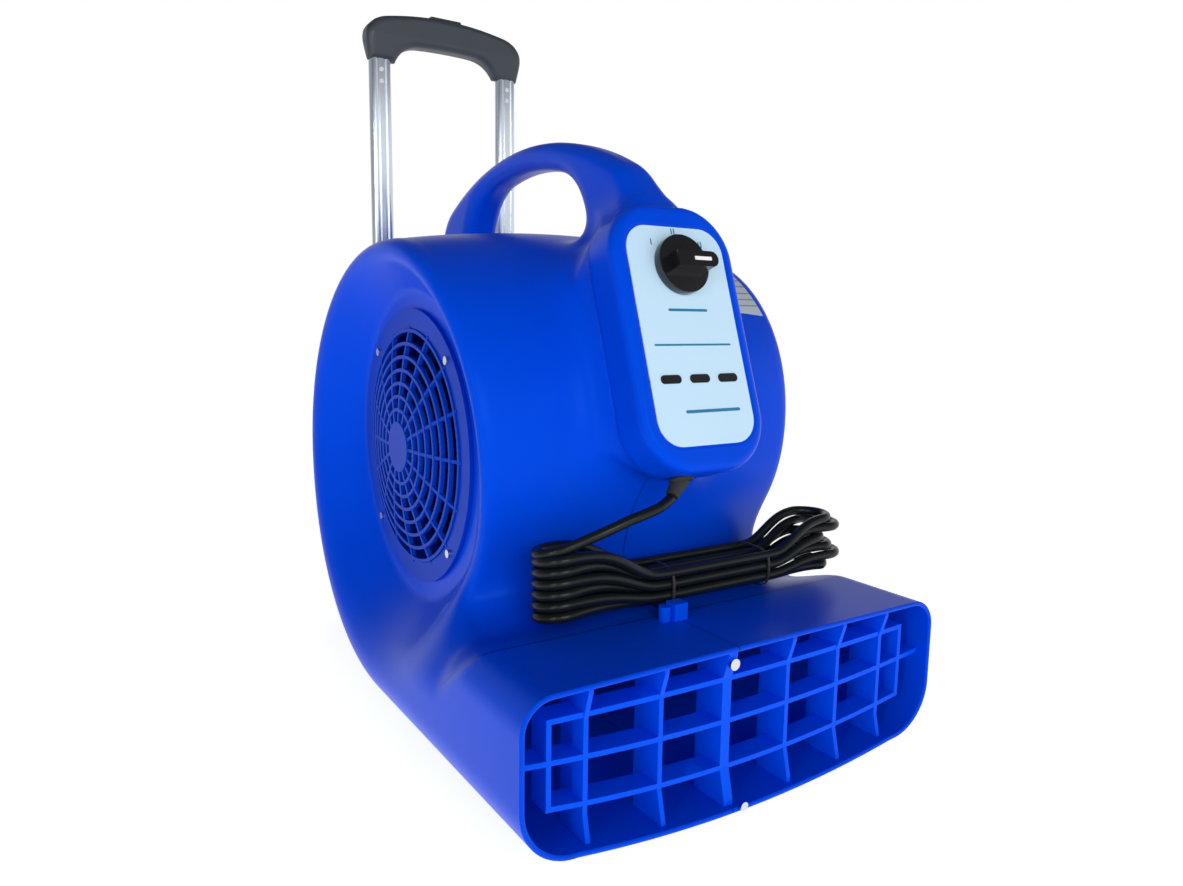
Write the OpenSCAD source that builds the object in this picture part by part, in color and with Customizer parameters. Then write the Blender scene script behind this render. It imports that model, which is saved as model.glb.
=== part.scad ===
// Floor-standing centrifugal air mover with a telescopic trolley handle.
// +Z is up, the outlet mouth faces -Y and the impeller axis runs along X.
// The origin is on the floor under the middle of the object's bounding box.

/* [Housing] */
// Width of the housing and of the outlet mouth
body_w = 410; // [400:2:420]
// Height of the impeller axis above the floor
axis_h = 255; // [254:0.5:257]
// Scroll radius where it faces forward, its smallest
scroll_r = 174; // [172:0.5:175]
// Growth of the scroll radius in each quarter turn
scroll_step = 26; // [25.5:0.1:26]
// Wall thickness of the moulded shells
wall = 4; // [3:0.25:4.5]
// Height of the outlet mouth's roof
mouth_top = 136; // [130:1:140]
// Distance from the impeller axis forward to the mouth
mouth_reach = 303; // [300:1:306]
// Place across the width of the joint between the two shells
seam_x = -22; // [-24:1:-20]

/* [Carry handle] */
// Width of the moulded arch handle
arch_w = 40; // [36:1:44]
// Height of the top of the arch
arch_top = 544; // [542:0.5:546]

/* [Control box] */
// Backward lean of the control panel in degrees
panel_lean = 19.2; // [18:0.2:20]
// Width of the control panel
panel_w = 98; // [94:1:100]
// Length of the control panel
panel_l = 182; // [178:1:184]
// Radius of the switch knob
knob_r = 24.5; // [23:0.5:26]

/* [Impeller and motor] */
// Outer radius of the squirrel cage wheel
impeller_r = 118; // [112:1:120]
// Number of blades
blade_count = 36; // [30:1:40]
// Radius of the motor can
motor_r = 62; // [58:1:64]
// Radius of the motor shaft
shaft_r = 6; // [5:0.5:7]

/* [Trolley] */
// Distance from the middle to each telescopic tube
tube_x = 81.5; // [78:0.5:84]
// How far the handle slides down
handle_travel = 205; // [150:5:205]
// Radius of the transport wheels
wheel_r = 36; // [34:0.5:36]

/* [Hidden] */

fine = 96;
half_w = body_w / 2;
axis_y = 9;
body_blue = [0.02, 0.20, 0.85];
deep_blue = [0.01, 0.13, 0.60];
charcoal = [0.16, 0.19, 0.22];
steel = [0.72, 0.74, 0.76];
rubber = [0.05, 0.05, 0.06];

// Cross-section of the scroll: a crowned outer face with round rims.
crown = 12;
rim_r = 45;
flat_half = half_w - rim_r;

// The scroll is four quarter arcs whose centres sit on a small square.
half_step = scroll_step / 2;
arc_r = [scroll_r + 2.5 * scroll_step, scroll_r + 1.5 * scroll_step,
    scroll_r + 0.5 * scroll_step, scroll_r - 0.5 * scroll_step];
arc_y = [-half_step, half_step, half_step, -half_step];
arc_z = [-half_step, -half_step, half_step, half_step];
belly_z = axis_h - half_step - arc_r[0];

// Conical dish around each inlet, and the round inlet in its floor.
dish_x = 152;
dish_r = 142;
inlet_r = 112;

mouth_y = axis_y - mouth_reach;
roof_corner = 25;

// The control panel's middle, on the front of the control box.
panel_y = -201.2;
panel_z = 362.9;
knob_v = 57;
lens_v = -37;
box_half_w = 62;
box_half_l = 112;
box_depth = 38;
box_corner = 46;

// Arch handle: outer and inner arcs, in the middle plane.
arch_y = 51;
arch_outer_r = 379;
arch_inner_r = 312;
arch_inner_y = 61;
window_front = -68;
window_rear = 182;
arch_rear = 262;
window_top = 519.5;

// Outlet grille: bars across the mouth, bowed like the mouth's floor.
bar = 4;
lattice_y = mouth_y + 11;
lattice_depth = 30;
lattice_half = 177;
row_z = [107, 73, 36];
row_bow = [4, 9, 13];
left_bars = [-148, -84];
right_bars = [42, 99, 151];

// Telescopic tubes.
tube_y = 285;
inner_w = 26;
inner_d = 13;
outer_w = 31;
outer_d = 17.6;
tube_gap = 0.4;
tube_wall = 1.5;
inner_low = 385;
inner_high = 692;
grip_low = 666;
collar_top = 452;
axle_y = 263;
axle_r = 5;
wheel_in = 104;
wheel_out = 134;

// Power cord.
cord_r = 4.25;
gland_u = -18;
gland_h = -24;

function rim(r, x) = r - crown * pow(x / flat_half, 2);
function rim_points(r, inset) = concat(
    [for (k = [0:4]) let (x = flat_half * k / 4) [rim(r, x) - inset, x]],
    [for (a = [15:15:90]) [r - crown - rim_r + (rim_r - inset) * cos(a),
        flat_half + (rim_r - inset) * sin(a)]]);
function mirrored(points) = [for (k = [len(points) - 1:-1:0]) [points[k][0], -points[k][1]]];

// Places its children so that X runs across the panel, Y up it and Z out of it.
module on_panel() {
    translate([0, panel_y, panel_z]) rotate([90 - panel_lean, 0, 0]) children();
}

// Places its children on the impeller axis, with Z pointing along +X.
module on_axis() {
    translate([0, axis_y, axis_h]) rotate([0, 90, 0]) children();
}

module rounded_plate(w, l, r, h) {
    linear_extrude(h) union() {
        square([w - 2 * r, l], center = true);
        square([w, l - 2 * r], center = true);
        for (x = [-1, 1], y = [-1, 1]) translate([x * (w / 2 - r), y * (l / 2 - r)]) circle(r, $fn = fine);
    }
}

module stadium(w, d) {
    square([w - d, d], center = true);
    for (x = [-1, 1]) translate([x * (w - d) / 2, 0]) circle(d = d, $fn = 48);
}

// --- Housing ---------------------------------------------------------------

module scroll(inset) {
    for (q = [0:3]) {
        half = rim_points(arc_r[q], inset);
        outline = concat([[0, -half_w + inset]], mirrored(half), half, [[0, half_w - inset]]);
        translate([0, axis_y + arc_y[q], axis_h + arc_z[q]]) rotate([0, 90, 0]) rotate([0, 0, 90 * q])
            rotate_extrude(angle = 90, $fn = fine) polygon(outline);
    }
    core = half_step + 1;
    translate([-half_w + inset, axis_y - core, axis_h - core])
        cube([body_w - 2 * inset, 2 * core, 2 * core]);
}

module nozzle(inset, front) {
    half = rim_points(axis_h - belly_z, inset);
    floor_points = [for (p = half) [p[1], axis_h - p[0]]];
    corner = roof_corner - inset;
    roof_points = [for (a = [0:15:90]) [half_w - roof_corner + corner * cos(a),
        mouth_top - roof_corner + corner * sin(a)]];
    right = concat(floor_points, roof_points);
    outline = concat(right, [for (k = [len(right) - 1:-1:0]) [-right[k][0], right[k][1]]]);
    translate([0, axis_y - half_step, 0]) rotate([90, 0, 0])
        linear_extrude(axis_y - half_step - front) polygon(outline);
}

module dishes(inset) {
    reach = half_w + 2 - dish_x;
    outline = [[0, dish_x - inset], [dish_r - 0.1 * inset, dish_x - inset],
        [dish_r + 0.9 * inset + reach, half_w + 2], [dish_r + 0.9 * inset + reach, half_w + 30],
        [0, half_w + 30]];
    for (side = [0, 1]) on_axis() mirror([0, 0, side]) rotate_extrude($fn = fine) polygon(outline);
}

module housing_form(inset, front) {
    difference() {
        union() {
            scroll(inset);
            nozzle(inset, front);
        }
        dishes(inset);
    }
}

// Raised seat on the scroll that carries the control box.
module pedestal(inset) {
    on_panel() translate([0, 0, inset - box_depth - 60]) rounded_plate(108 - 2 * inset, 196 - 2 * inset,
        40 - inset, 60 - inset);
}

module arch() {
    rotate([90, 0, 90]) translate([0, 0, -arch_w / 2]) linear_extrude(arch_w) difference() {
        intersection() {
            translate([arch_y, arch_top - arch_outer_r]) circle(arch_outer_r, $fn = fine);
            translate([-190, 300]) square([arch_rear + 190, 300]);
        }
        intersection() {
            translate([arch_inner_y, window_top - arch_inner_r]) circle(arch_inner_r, $fn = fine);
            translate([window_front, 250]) square([window_rear - window_front, 300]);
        }
    }
}

module shell_solid() {
    difference() {
        union() {
            difference() {
                union() {
                    housing_form(0, mouth_y);
                    arch();
                }
                housing_form(wall, mouth_y - 1);
            }
            difference() {
                pedestal(0);
                pedestal(wall);
                housing_form(wall, mouth_y);
            }
        }
        on_axis() cylinder(h = 2 * body_w, r = inlet_r, center = true, $fn = fine);
        // Room for the control box, and the arch's front face above it.
        on_panel() translate([0, 0, -box_depth]) rounded_plate(2 * box_half_w, 2 * box_half_l, box_corner, 200);
        on_panel() translate([-half_w, -half_w, -6]) cube([body_w, body_w, 200]);
    }
}

module left_half() {
    translate([seam_x - 400, -400, -100]) cube([400, 800, 800]);
}

module right_half() {
    translate([seam_x, -400, -100]) cube([400, 800, 800]);
}

module left_shell() {
    color(body_blue) intersection() {
        shell_solid();
        left_half();
    }
}

module right_shell() {
    color(body_blue) union() {
        intersection() {
            shell_solid();
            right_half();
        }
        // Screw boss under the mouth's floor, beside the joint.
        translate([seam_x + 8, mouth_y - 4.2, 9]) rotate([-90, 0, 0]) cylinder(h = 9, r = 6, $fn = 32);
    }
}

// --- Outlet grille ---------------------------------------------------------

module lattice_row(k, x_from, x_to) {
    steps = 8;
    function z_at(x) = row_z[k] + row_bow[k] * pow(x / lattice_half, 2);
    xs = [for (j = [0:steps]) x_from + (x_to - x_from) * j / steps];
    outline = concat([for (x = xs) [x, z_at(x) - bar / 2]],
        [for (j = [steps:-1:0]) [xs[j], z_at(xs[j]) + bar / 2]]);
    translate([0, lattice_y + 20, 0]) rotate([90, 0, 0]) linear_extrude(20) polygon(outline);
}

// A vertical vane from floor to roof whose front edge runs forward at both ends.
module lattice_vane(x, w) {
    outline = [[lattice_y - 6, mouth_top], [lattice_y - 6, mouth_top - 9], [lattice_y, row_z[0]],
        [lattice_y, row_z[2]], [lattice_y - 6, 12], [lattice_y - 6, 0],
        [lattice_y + lattice_depth, 0], [lattice_y + lattice_depth, mouth_top]];
    translate([x - w / 2, 0, 0]) rotate([90, 0, 90]) linear_extrude(w) polygon(outline);
}

module lattice_end(x) {
    low = row_z[2] + row_bow[2] - bar / 2;
    high = row_z[0] + row_bow[0] + bar / 2;
    translate([x - bar / 2, lattice_y, low]) cube([bar, 20, high - low]);
}

module lattice(bars, x_seam, x_end, x_wall) {
    for (k = [0, 2]) lattice_row(k, x_seam, x_end);
    lattice_row(1, x_seam, x_wall);
    for (x = bars) lattice_vane(x, bar);
    lattice_end(x_end);
}

module outlet_grille_left() {
    color(body_blue) intersection() {
        union() {
            lattice(left_bars, seam_x, -lattice_half, -half_w);
            lattice_vane(seam_x - 2.2, 4.4);
        }
        nozzle(wall, mouth_y);
    }
}

module outlet_grille_right() {
    color(body_blue) intersection() {
        union() {
            lattice(right_bars, seam_x, lattice_half, half_w);
            lattice_vane(seam_x + 2.2, 4.4);
        }
        nozzle(wall, mouth_y);
    }
}

// --- Inlet grilles ---------------------------------------------------------

dome_h = 14;
dome_r = 112;
grille_t = 4;
spoke_count = 16;
function dome(r) = dish_x + grille_t + dome_h * (1 - pow(min(r, dome_r) / dome_r, 2));

module inlet_grille() {
    on_axis() union() {
        // Seat ring, on the dish's floor.
        translate([0, 0, dish_x]) difference() {
            cylinder(h = grille_t, r = 126, $fn = fine);
            translate([0, 0, -1]) cylinder(h = grille_t + 2, r = 108, $fn = fine);
        }
        for (r = [34:12:106]) translate([0, 0, dome(r) - grille_t]) difference() {
            cylinder(h = grille_t, r = r + 1.5, $fn = fine);
            translate([0, 0, -1]) cylinder(h = grille_t + 2, r = r - 1.5, $fn = fine);
        }
        translate([0, 0, dome(0) - grille_t - 1]) cylinder(h = grille_t + 1, r = 23, $fn = fine);
        radii = [20, 50, 80, 110];
        outline = concat([for (r = radii) [r, dome(r)]],
            [for (k = [3:-1:0]) [radii[k], dome(radii[k]) - grille_t]]);
        for (k = [0:spoke_count - 1]) rotate([0, 0, 360 / spoke_count * k])
            rotate([90, 0, 0]) translate([0, 0, -1.5]) linear_extrude(3) polygon(outline);
    }
}

module inlet_grille_right() {
    color(deep_blue) inlet_grille();
}

module inlet_grille_left() {
    color(deep_blue) mirror([1, 0, 0]) inlet_grille();
}

module grille_screws() {
    color(steel) for (side = [0, 1]) mirror([side, 0, 0]) on_axis()
        for (k = [0:3]) rotate([0, 0, 90 * k + 45]) translate([117, 0, dish_x + grille_t])
            cylinder(h = 2.2, r = 3.6, $fn = 24);
}

module shell_screws() {
    color(steel) {
        // Screw through the two grille halves, under the mouth's roof.
        translate([seam_x, lattice_y - 8.4, 121]) rotate([-90, 0, 0]) cylinder(h = 2.4, r = 4.5, $fn = 24);
        translate([seam_x + 8, mouth_y - 5, 9]) rotate([-90, 0, 0]) cylinder(h = 0.8, r = 3.5, $fn = 24);
    }
}

// --- Control box -----------------------------------------------------------

module control_box() {
    box_wall = 3;
    color(body_blue) on_panel() difference() {
        translate([0, 0, -box_depth]) rounded_plate(2 * box_half_w, 2 * box_half_l, box_corner, box_depth);
        translate([0, 0, -box_depth - 1]) rounded_plate(2 * (box_half_w - box_wall),
            2 * (box_half_l - box_wall), box_corner - box_wall, box_depth - 3);
        translate([0, 0, -1.2]) rounded_plate(panel_w, panel_l, 22, 2);
        translate([0, knob_v, -10]) cylinder(h = 12, r = 7, $fn = 48);
        for (k = [-1:1]) translate([29 * k, lens_v, -10]) rounded_plate(20, 7, 3.4, 12);
        translate([gland_u, -box_half_l + 10, gland_h]) rotate([90, 0, 0]) cylinder(h = 20, r = 7, $fn = 48);
    }
}

module control_panel() {
    color([0.76, 0.90, 1.0]) on_panel() difference() {
        translate([0, 0, -1.2]) rounded_plate(panel_w - 0.2, panel_l - 0.2, 21.9, 1.4);
        translate([0, knob_v, -3]) cylinder(h = 6, r = 7, $fn = 48);
        for (k = [-1:1]) translate([29 * k, lens_v, -3]) rounded_plate(20, 7, 3.4, 6);
    }
}

module indicator_lenses() {
    color([0.05, 0.06, 0.08]) on_panel()
        for (k = [-1:1]) translate([29 * k, lens_v, -4]) rounded_plate(20, 7, 3.4, 4.8);
}

module switch_body() {
    color(charcoal) on_panel() difference() {
        union() {
            translate([-22, knob_v - 22, -30]) cube([44, 44, 23]);
            translate([0, knob_v, -7.5]) cylinder(h = 4.5, r = 6.8, $fn = 48);
        }
        translate([0, knob_v, -31]) cylinder(h = 32, r = 3.05, $fn = 48);
    }
}

module switch_knob() {
    color([0.04, 0.04, 0.05]) on_panel() translate([0, knob_v, 0]) union() {
        translate([0, 0, 0.8]) cylinder(h = 7.2, r = knob_r, $fn = fine);
        translate([0, 0, -28]) cylinder(h = 30, r = 3, $fn = 48);
        translate([-14, -6.5, 7]) cube([34, 13, 12]);
        translate([20, 0, 7]) cylinder(h = 12, r = 6.5, $fn = 48);
    }
}

module knob_pointer() {
    color("white") on_panel() translate([2, knob_v - 1.5, 19]) cube([17, 3, 0.5]);
}

module capacitor() {
    color(steel) on_panel() translate([-16, -40, -21]) rotate([90, 0, 0]) cylinder(h = 50, r = 13, $fn = fine);
}

module terminal_block() {
    color([0.85, 0.85, 0.80]) on_panel() difference() {
        translate([6, -92, -33]) cube([34, 46, 18]);
        for (k = [0:3]) translate([11 + 8 * k, -69, -20]) cylinder(h = 6, r = 2.2, $fn = 24);
    }
}

module rating_label() {
    x0 = 100;
    x1 = 160;
    lift = 0.1;
    thick = 0.4;
    outline = [[rim(arc_r[2], x0) + lift, x0], [rim(arc_r[2], x1) + lift, x1],
        [rim(arc_r[2], x1) + lift + thick, x1], [rim(arc_r[2], x0) + lift + thick, x0]];
    color([0.72, 0.78, 0.84]) translate([0, axis_y + arc_y[2], axis_h + arc_z[2]]) rotate([0, 90, 0])
        rotate([0, 0, 211]) rotate_extrude(angle = 20, $fn = fine) polygon(outline);
}

// --- Power cord ------------------------------------------------------------

// Route of the cord from the gland to the hank, round numbers chosen by hand.
cord_route = [[-31, -220, 235], [-40, -223, 231], [-50, -224, 228], [-61, -223, 225],
    [-71, -221, 222], [-81, -219, 218], [-90, -216, 214], [-99, -212, 210],
    [-107, -208, 206], [-113, -204, 202], [-119, -200, 197], [-123, -196, 192],
    [-126, -192, 184], [-127, -190, 173]];

// Route of the last stretch, from the back of the hank to the plug.
lead_route = [[22, -168, 148], [34, -160, 148], [46, -154, 149], [58, -149, 150], [70, -146, 151],
    [82, -145, 151]];

function unit(v) = v / norm(v);
function tangent(p, i) = unit(p[min(i + 1, len(p) - 1)] - p[max(i - 1, 0)]);
function side_of(t) = unit(cross(t, [0.3, 0.9, 0.1]));

module tube_along(path, r, sides) {
    rings = len(path);
    points = [for (i = [0:rings - 1]) let (t = tangent(path, i), u = side_of(t), v = cross(t, u))
        for (s = [0:sides - 1]) path[i] + r * (cos(360 * s / sides) * u + sin(360 * s / sides) * v)];
    sides_faces = [for (i = [0:rings - 2], s = [0:sides - 1]) let (n = (s + 1) % sides)
        [i * sides + s, i * sides + n, (i + 1) * sides + n, (i + 1) * sides + s]];
    caps = [[for (s = [sides - 1:-1:0]) s], [for (s = [0:sides - 1]) (rings - 1) * sides + s]];
    polyhedron(points, concat(sides_faces, caps));
}

module power_cord() {
    color(rubber) tube_along(cord_route, cord_r, 10);
}

module plug_lead() {
    color(rubber) tube_along(lead_route, cord_r, 10);
}

hank_left = -138;
hank_right = 188;
hank_h = 40;
hank_d = 46;
hank_y = -190;
hank_z = mouth_top + 1.8 + hank_h / 2;

module cord_hank() {
    color(rubber) translate([(hank_left + hank_right) / 2, hank_y + hank_d / 2, hank_z]) rotate([90, 0, 0])
        linear_extrude(hank_d) stadium(hank_right - hank_left, hank_h);
}

module cord_ties() {
    color(charcoal) for (x = [-20, 85]) translate([x - 1.5, hank_y, hank_z]) difference() {
        translate([0, -hank_d / 2 - 1.5, -hank_h / 2 - 1.5]) cube([3, hank_d + 3, hank_h + 3]);
        translate([-1, -hank_d / 2, -hank_h / 2]) cube([5, hank_d, hank_h]);
    }
}

plug_x = 120;
plug_y = -145;
plug_z = mouth_top + 15;

module plug() {
    color(rubber) translate([plug_x, plug_y, plug_z]) rotate([0, 90, 0]) union() {
        translate([0, 0, -18]) cylinder(h = 36, r = 11, $fn = 48);
        translate([0, 0, -38]) cylinder(h = 20, r = 6, $fn = 32);
        translate([0, 0, 18]) cylinder(h = 3, r = 15, $fn = 48);
    }
}

module plug_pins() {
    color(steel) translate([plug_x + 21, plug_y, plug_z]) rotate([0, 90, 0])
        for (y = [-9.5, 9.5]) translate([0, y, 0]) cylinder(h = 19, r = 2.4, $fn = 24);
}

module cord_gland() {
    color(charcoal) on_panel() translate([gland_u, -box_half_l, gland_h]) rotate([90, 0, 0]) union() {
        translate([0, 0, -5]) cylinder(h = 5, r = 6.9, $fn = 48);
        cylinder(h = 3, r = 10, $fn = 48);
        // The tapered tail leans towards the side that the cord leaves on.
        translate([0, 0, 1]) rotate([0, -45, 0]) cylinder(h = 17, r1 = 7.5, r2 = 5.2, $fn = 48);
    }
}

module cord_cleat() {
    color(body_blue) {
        translate([-35, -221, mouth_top]) cylinder(h = 12, r = 5, $fn = 32);
        translate([-30, -228, mouth_top]) cube([13, 12, 14]);
    }
}

// --- Impeller and motor ----------------------------------------------------

wheel_half = 112;
blade_in = 92;
hub_plate_x = -47;

module blower_wheel() {
    color(deep_blue) on_axis() union() {
        for (z = [-wheel_half, wheel_half - 4]) translate([0, 0, z]) difference() {
            cylinder(h = 4, r = impeller_r, $fn = fine);
            translate([0, 0, -1]) cylinder(h = 6, r = blade_in, $fn = fine);
        }
        translate([0, 0, hub_plate_x]) difference() {
            cylinder(h = 4, r = impeller_r, $fn = fine);
            translate([0, 0, -1]) cylinder(h = 6, r = 18, $fn = fine);
        }
        for (k = [0:blade_count - 1]) rotate([0, 0, 360 / blade_count * k])
            translate([blade_in + 1, 0, -wheel_half + 2]) rotate([0, 0, 28])
                cube([25, 1.6, 2 * wheel_half - 4]);
    }
}

module wheel_hub() {
    color(steel) on_axis() difference() {
        union() {
            translate([0, 0, hub_plate_x]) cylinder(h = 4, r = 18, $fn = fine);
            translate([0, 0, hub_plate_x - 18]) cylinder(h = 18, r = 14, $fn = fine);
        }
        translate([0, 0, hub_plate_x - 20]) cylinder(h = 30, r = shaft_r, $fn = fine);
    }
}

module motor_shaft() {
    color(steel) on_axis() translate([0, 0, -70]) cylinder(h = 195, r = shaft_r, $fn = fine);
}

module motor_rotor() {
    color([0.45, 0.45, 0.47]) on_axis() translate([0, 0, 10]) difference() {
        cylinder(h = 70, r = 36, $fn = fine);
        translate([0, 0, -1]) cylinder(h = 72, r = shaft_r, $fn = fine);
    }
}

module motor_stator() {
    color([0.62, 0.38, 0.20]) on_axis() translate([0, 0, 5]) difference() {
        cylinder(h = 80, r = motor_r - 4, $fn = fine);
        translate([0, 0, -1]) cylinder(h = 82, r = 36.6, $fn = fine);
    }
}

module motor_can() {
    color(steel) on_axis() translate([0, 0, -15]) difference() {
        cylinder(h = 120, r = motor_r, $fn = fine);
        translate([0, 0, -1]) cylinder(h = 122, r = motor_r - 4, $fn = fine);
    }
}

module motor_cap(x) {
    color([0.55, 0.57, 0.60]) on_axis() translate([0, 0, x]) difference() {
        cylinder(h = 10, r = motor_r, $fn = fine);
        translate([0, 0, -1]) cylinder(h = 12, r = 16, $fn = fine);
    }
}

module motor_cap_left() {
    motor_cap(-25);
}

module motor_cap_right() {
    motor_cap(105);
}

module motor_bearings() {
    color(steel) on_axis() for (x = [-25, 105]) translate([0, 0, x]) difference() {
        cylinder(h = 10, r = 16, $fn = fine);
        translate([0, 0, -1]) cylinder(h = 12, r = shaft_r + 0.05, $fn = fine);
    }
}

module motor_bracket() {
    inner_floor = dish_x - wall;
    color([0.30, 0.32, 0.35]) on_axis() difference() {
        union() {
            translate([0, 0, 90]) cylinder(h = inner_floor - 91, r = motor_r + 4, $fn = fine);
            for (k = [0:3]) rotate([0, 0, 90 * k + 45]) translate([motor_r - 4, -11, inner_floor - 5])
                cube([128 - motor_r + 4, 22, 5]);
        }
        translate([0, 0, 89]) cylinder(h = 80, r = motor_r, $fn = fine);
    }
}

module bracket_screws() {
    color(steel) on_axis() for (k = [0:3]) rotate([0, 0, 90 * k + 45])
        translate([121, 0, dish_x - wall - 8]) cylinder(h = 3, r = 5, $fn = 24);
}

// --- Trolley ---------------------------------------------------------------

module rear_carriage() {
    color(charcoal) difference() {
        union() {
            translate([-100, 240, 58]) cube([200, 56, 26]);
            for (side = [0, 1]) mirror([side, 0, 0]) {
                translate([84, 120, 44]) cube([16, 140, 36]);
                translate([84, axle_y, 36]) rotate([0, 90, 0]) cylinder(h = 16, r = 16, $fn = 48);
                translate([84, axle_y - 16, 36]) cube([16, 32, 24]);
            }
        }
        housing_form(0, mouth_y);
        translate([-150, axle_y, 36]) rotate([0, 90, 0]) cylinder(h = 300, r = axle_r, $fn = 48);
        for (x = [-tube_x, tube_x]) translate([x, tube_y, 70]) linear_extrude(30) stadium(outer_w, outer_d);
    }
}

module upper_bracket() {
    color(charcoal) difference() {
        union() {
            translate([-100, arch_rear, 425]) cube([200, tube_y - arch_rear - 4, collar_top - 425]);
            for (x = [-tube_x, tube_x]) translate([x, tube_y, 425]) linear_extrude(collar_top - 425)
                stadium(outer_w + 6, outer_d + 6);
        }
        for (x = [-tube_x, tube_x]) {
            translate([x, tube_y, 424]) linear_extrude(16) stadium(outer_w, outer_d);
            translate([x, tube_y, 430]) linear_extrude(30)
                stadium(inner_w + 2 * tube_gap, inner_d + 2 * tube_gap);
        }
    }
}

module outer_tube() {
    color([0.66, 0.70, 0.74]) translate([tube_x, tube_y, 70]) linear_extrude(370) difference() {
        stadium(outer_w, outer_d);
        stadium(inner_w + 2 * tube_gap, inner_d + 2 * tube_gap);
    }
}

module right_outer_tube() {
    outer_tube();
}

module left_outer_tube() {
    mirror([1, 0, 0]) outer_tube();
}

module inner_tube() {
    color([0.78, 0.83, 0.88]) translate([tube_x, tube_y, inner_low]) linear_extrude(inner_high - inner_low)
        difference() {
            stadium(inner_w, inner_d);
            stadium(inner_w - 2 * tube_wall, inner_d - 2 * tube_wall);
        }
}

module right_inner_tube() {
    inner_tube();
}

module left_inner_tube() {
    mirror([1, 0, 0]) inner_tube();
}

module tube_rivets() {
    color(steel) for (x = [-tube_x, tube_x], z = [643, 656])
        translate([x, tube_y - inner_d / 2 - 0.3, z]) rotate([-90, 0, 0]) cylinder(h = 0.3, r = 2.6, $fn = 24);
}

// The grip's front outline: a bar, arched on top, whose ends reach down to the tubes.
module grip_outline() {
    steps = 8;
    top = [for (k = [0:steps]) let (x = 98 - 196 * k / steps) [x, 723 - 13 * pow(x / 98, 2)]];
    under = [for (k = [0:steps]) let (x = -58 + 116 * k / steps) [x, 689 - 3 * pow(x / 58, 2)]];
    polygon(concat([[95.5, grip_low], [101, 700]], top, [[-101, 700], [-95.5, grip_low], [-67.5, grip_low],
        [-66, 678]], under, [[66, 678], [67.5, grip_low]]));
}

module grip() {
    color(charcoal) difference() {
        translate([0, tube_y + 13.5, 0]) rotate([90, 0, 0]) linear_extrude(27) grip_outline();
        for (x = [-tube_x, tube_x]) translate([x, tube_y, grip_low - 1])
            linear_extrude(inner_high - grip_low + 1) stadium(inner_w, inner_d);
        // Channel for the lock rods' cross bar, and the button's slot above it.
        translate([-88, tube_y - 4.5, 692]) cube([176, 9, 13]);
        translate([-20.3, tube_y - 6.3, 699.8]) cube([40.6, 12.6, 34]);
    }
}

module release_button() {
    color([0.07, 0.08, 0.09]) translate([-20, tube_y - 6, 705.4]) cube([40, 12, 20.1]);
}

module lock_rods() {
    color(steel) {
        translate([-84, tube_y - 4, 700]) cube([168, 8, 4.9]);
        translate([-3, tube_y - 3, 704.9]) cube([6, 6, 0.5]);
        for (x = [-tube_x, tube_x]) translate([x, tube_y, 400]) cylinder(h = 300, r = 2, $fn = 32);
    }
}

module release_spring() {
    color(steel) translate([0, tube_y, 692]) difference() {
        cylinder(h = 8, r = 3.6, $fn = 32);
        translate([0, 0, -1]) cylinder(h = 10, r = 2.6, $fn = 32);
    }
}

module axle() {
    color(steel) translate([-wheel_out - 3, axle_y, 36]) rotate([0, 90, 0])
        cylinder(h = 2 * wheel_out + 6, r = axle_r, $fn = 48);
}

module axle_caps() {
    color(charcoal) for (side = [0, 1]) mirror([side, 0, 0]) translate([wheel_out + 0.4, axle_y, 36])
        rotate([0, 90, 0]) difference() {
            cylinder(h = 4, r = 9, $fn = 48);
            translate([0, 0, -1]) cylinder(h = 3.6, r = axle_r, $fn = 48);
        }
}

module road_wheel() {
    running = 0.06;
    color([0.20, 0.21, 0.23]) translate([wheel_in, axle_y, 36]) rotate([0, 90, 0]) difference() {
        union() {
            cylinder(h = wheel_out - wheel_in, r = 11, $fn = 48);
            translate([0, 0, 11]) cylinder(h = 8, r = wheel_r - 10, $fn = fine);
            translate([0, 0, 3]) difference() {
                cylinder(h = wheel_out - wheel_in - 6, r = wheel_r - 8, $fn = fine);
                translate([0, 0, -1]) cylinder(h = 40, r = wheel_r - 11, $fn = fine);
            }
        }
        translate([0, 0, -1]) cylinder(h = 40, r = axle_r + running, $fn = 48);
    }
}

module road_tyre() {
    color(rubber) translate([wheel_in, axle_y, 36]) rotate([0, 90, 0]) translate([0, 0, 2]) difference() {
        cylinder(h = wheel_out - wheel_in - 4, r = wheel_r, $fn = fine);
        translate([0, 0, -1]) cylinder(h = 40, r = wheel_r - 8, $fn = fine);
    }
}

module right_wheel() {
    road_wheel();
}

module left_wheel() {
    mirror([1, 0, 0]) road_wheel();
}

module right_tyre() {
    road_tyre();
}

module left_tyre() {
    mirror([1, 0, 0]) road_tyre();
}

module front_feet() {
    color(rubber) difference() {
        for (x = [-115, 115]) translate([x, -190, 0]) cylinder(h = 14, r = 17, $fn = 48);
        housing_form(0, mouth_y);
    }
}

left_shell();
right_shell();
outlet_grille_left();
outlet_grille_right();
inlet_grille_left();
inlet_grille_right();
grille_screws();
shell_screws();
control_box();
control_panel();
indicator_lenses();
rating_label();
switch_body();
switch_knob();
knob_pointer();
capacitor();
terminal_block();
cord_gland();
power_cord();
plug_lead();
cord_hank();
cord_ties();
plug();
plug_pins();
cord_cleat();
blower_wheel();
wheel_hub();
motor_shaft();
motor_rotor();
motor_stator();
motor_can();
motor_cap_left();
motor_cap_right();
motor_bearings();
motor_bracket();
bracket_screws();
upper_bracket();
rear_carriage();
left_outer_tube();
right_outer_tube();
left_inner_tube();
right_inner_tube();
tube_rivets();
grip();
release_button();
lock_rods();
release_spring();
axle();
axle_caps();
left_wheel();
left_tyre();
right_wheel();
right_tyre();
front_feet();
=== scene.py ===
import math

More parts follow.
